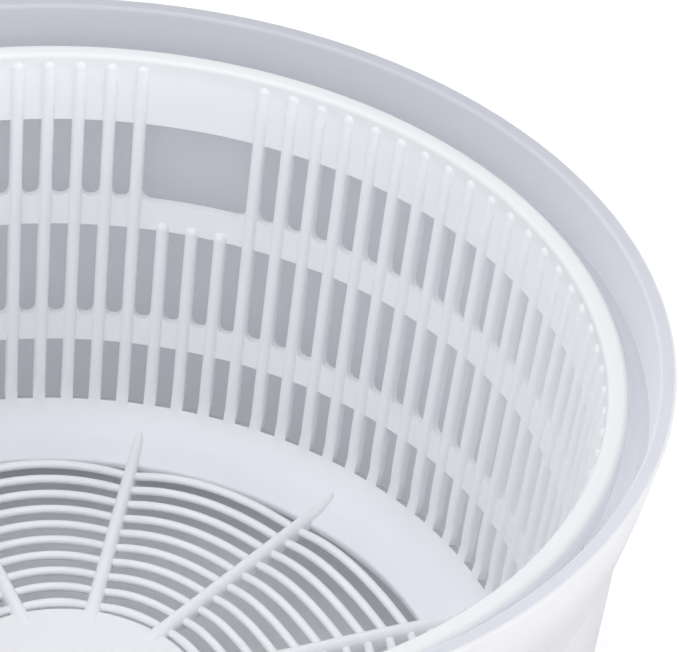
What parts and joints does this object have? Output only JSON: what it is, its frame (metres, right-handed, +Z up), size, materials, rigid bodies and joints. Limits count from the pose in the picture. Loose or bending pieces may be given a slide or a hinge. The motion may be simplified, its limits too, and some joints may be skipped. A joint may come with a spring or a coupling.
{
  "type": "salad spinner",
  "caption": "Round salad spinner standing open: frosted bowl with a flared collar, slotted white basket on a centre pivot, and a cranked, geared lid lying beside it.",
  "frame": {"origin": "middle of the bowl's foot, on the table", "axes": "+Z up, +X from the lid towards the bowl"},
  "size_m": [0.521, 0.2536, 0.1324],
  "materials": {
    "frosted_plastic": "frosted",
    "white_plastic": "smooth",
    "soft_grip": "matt",
    "steel": "plain",
    "acetal": "smooth"
  },
  "bodies": {
    "bowl": {"outer_bowl": "frosted_plastic", "grip_ring": "soft_grip", "pivot_boss": "acetal", "pivot_pin": "steel"},
    "bush": {"pivot_bush": "acetal"},
    "basket": {"basket": "white_plastic"},
    "lid": {"lid_shell": "frosted_plastic", "gear_cover": "white_plastic", "cover_screws": "steel", "spindle_lower_bush": "acetal", "spindle_upper_bush": "acetal", "crank_lower_bush": "acetal", "crank_upper_bush": "acetal", "brake_spring": "steel"},
    "crank": {"crank_arm": "white_plastic", "crank_shaft": "steel", "crank_screw": "steel", "drive_gear": "acetal", "knob_stud": "steel", "knob_screw": "steel"},
    "knob": {"crank_knob": "white_plastic", "knob_cap": "white_plastic"},
    "spindle": {"spindle": "steel", "pinion": "acetal", "drive_disc": "white_plastic", "disc_washer": "steel", "disc_screw": "steel"},
    "brake": {"brake_button": "white_plastic", "brake_pad": "soft_grip"}
  },
  "joints": [
    {"name": "basket_lift", "type": "slide", "parent": "bowl", "child": "bush", "axis": [0, 0, 1], "range_m": [0, 0.13]},
    {"name": "basket_spin", "type": "hinge", "parent": "bush", "child": "basket", "pos_m": [0, 0, 0.02], "axis": [0, 0, 1], "continuous": true},
    {"name": "lid_lift", "type": "slide", "parent": "bowl", "child": "lid", "axis": [0, 0, 1], "range_m": [0, 0.15]},
    {"name": "crank_turn", "type": "hinge", "parent": "lid", "child": "crank", "pos_m": [-0.3066, 0, 0.04], "axis": [0, 0, 1], "continuous": true},
    {"name": "spindle_turn", "type": "hinge", "parent": "lid", "child": "spindle", "pos_m": [-0.2706, 0, 0.02], "axis": [0, 0, 1], "continuous": true},
    {"name": "knob_turn", "type": "hinge", "parent": "crank", "child": "knob", "pos_m": [-0.3066, -0.05, 0.055], "axis": [0, 0, 1], "continuous": true},
    {"name": "brake_press", "type": "slide", "parent": "lid", "child": "brake", "axis": [0, 0, -1], "range_m": [0, 0.003], "stiffness_N_per_m": 400, "deforming": ["brake_spring"]}
  ],
  "couplings": [
    {"joint": "spindle_turn", "follows": "crank_turn", "ratio": -3}
  ]
}
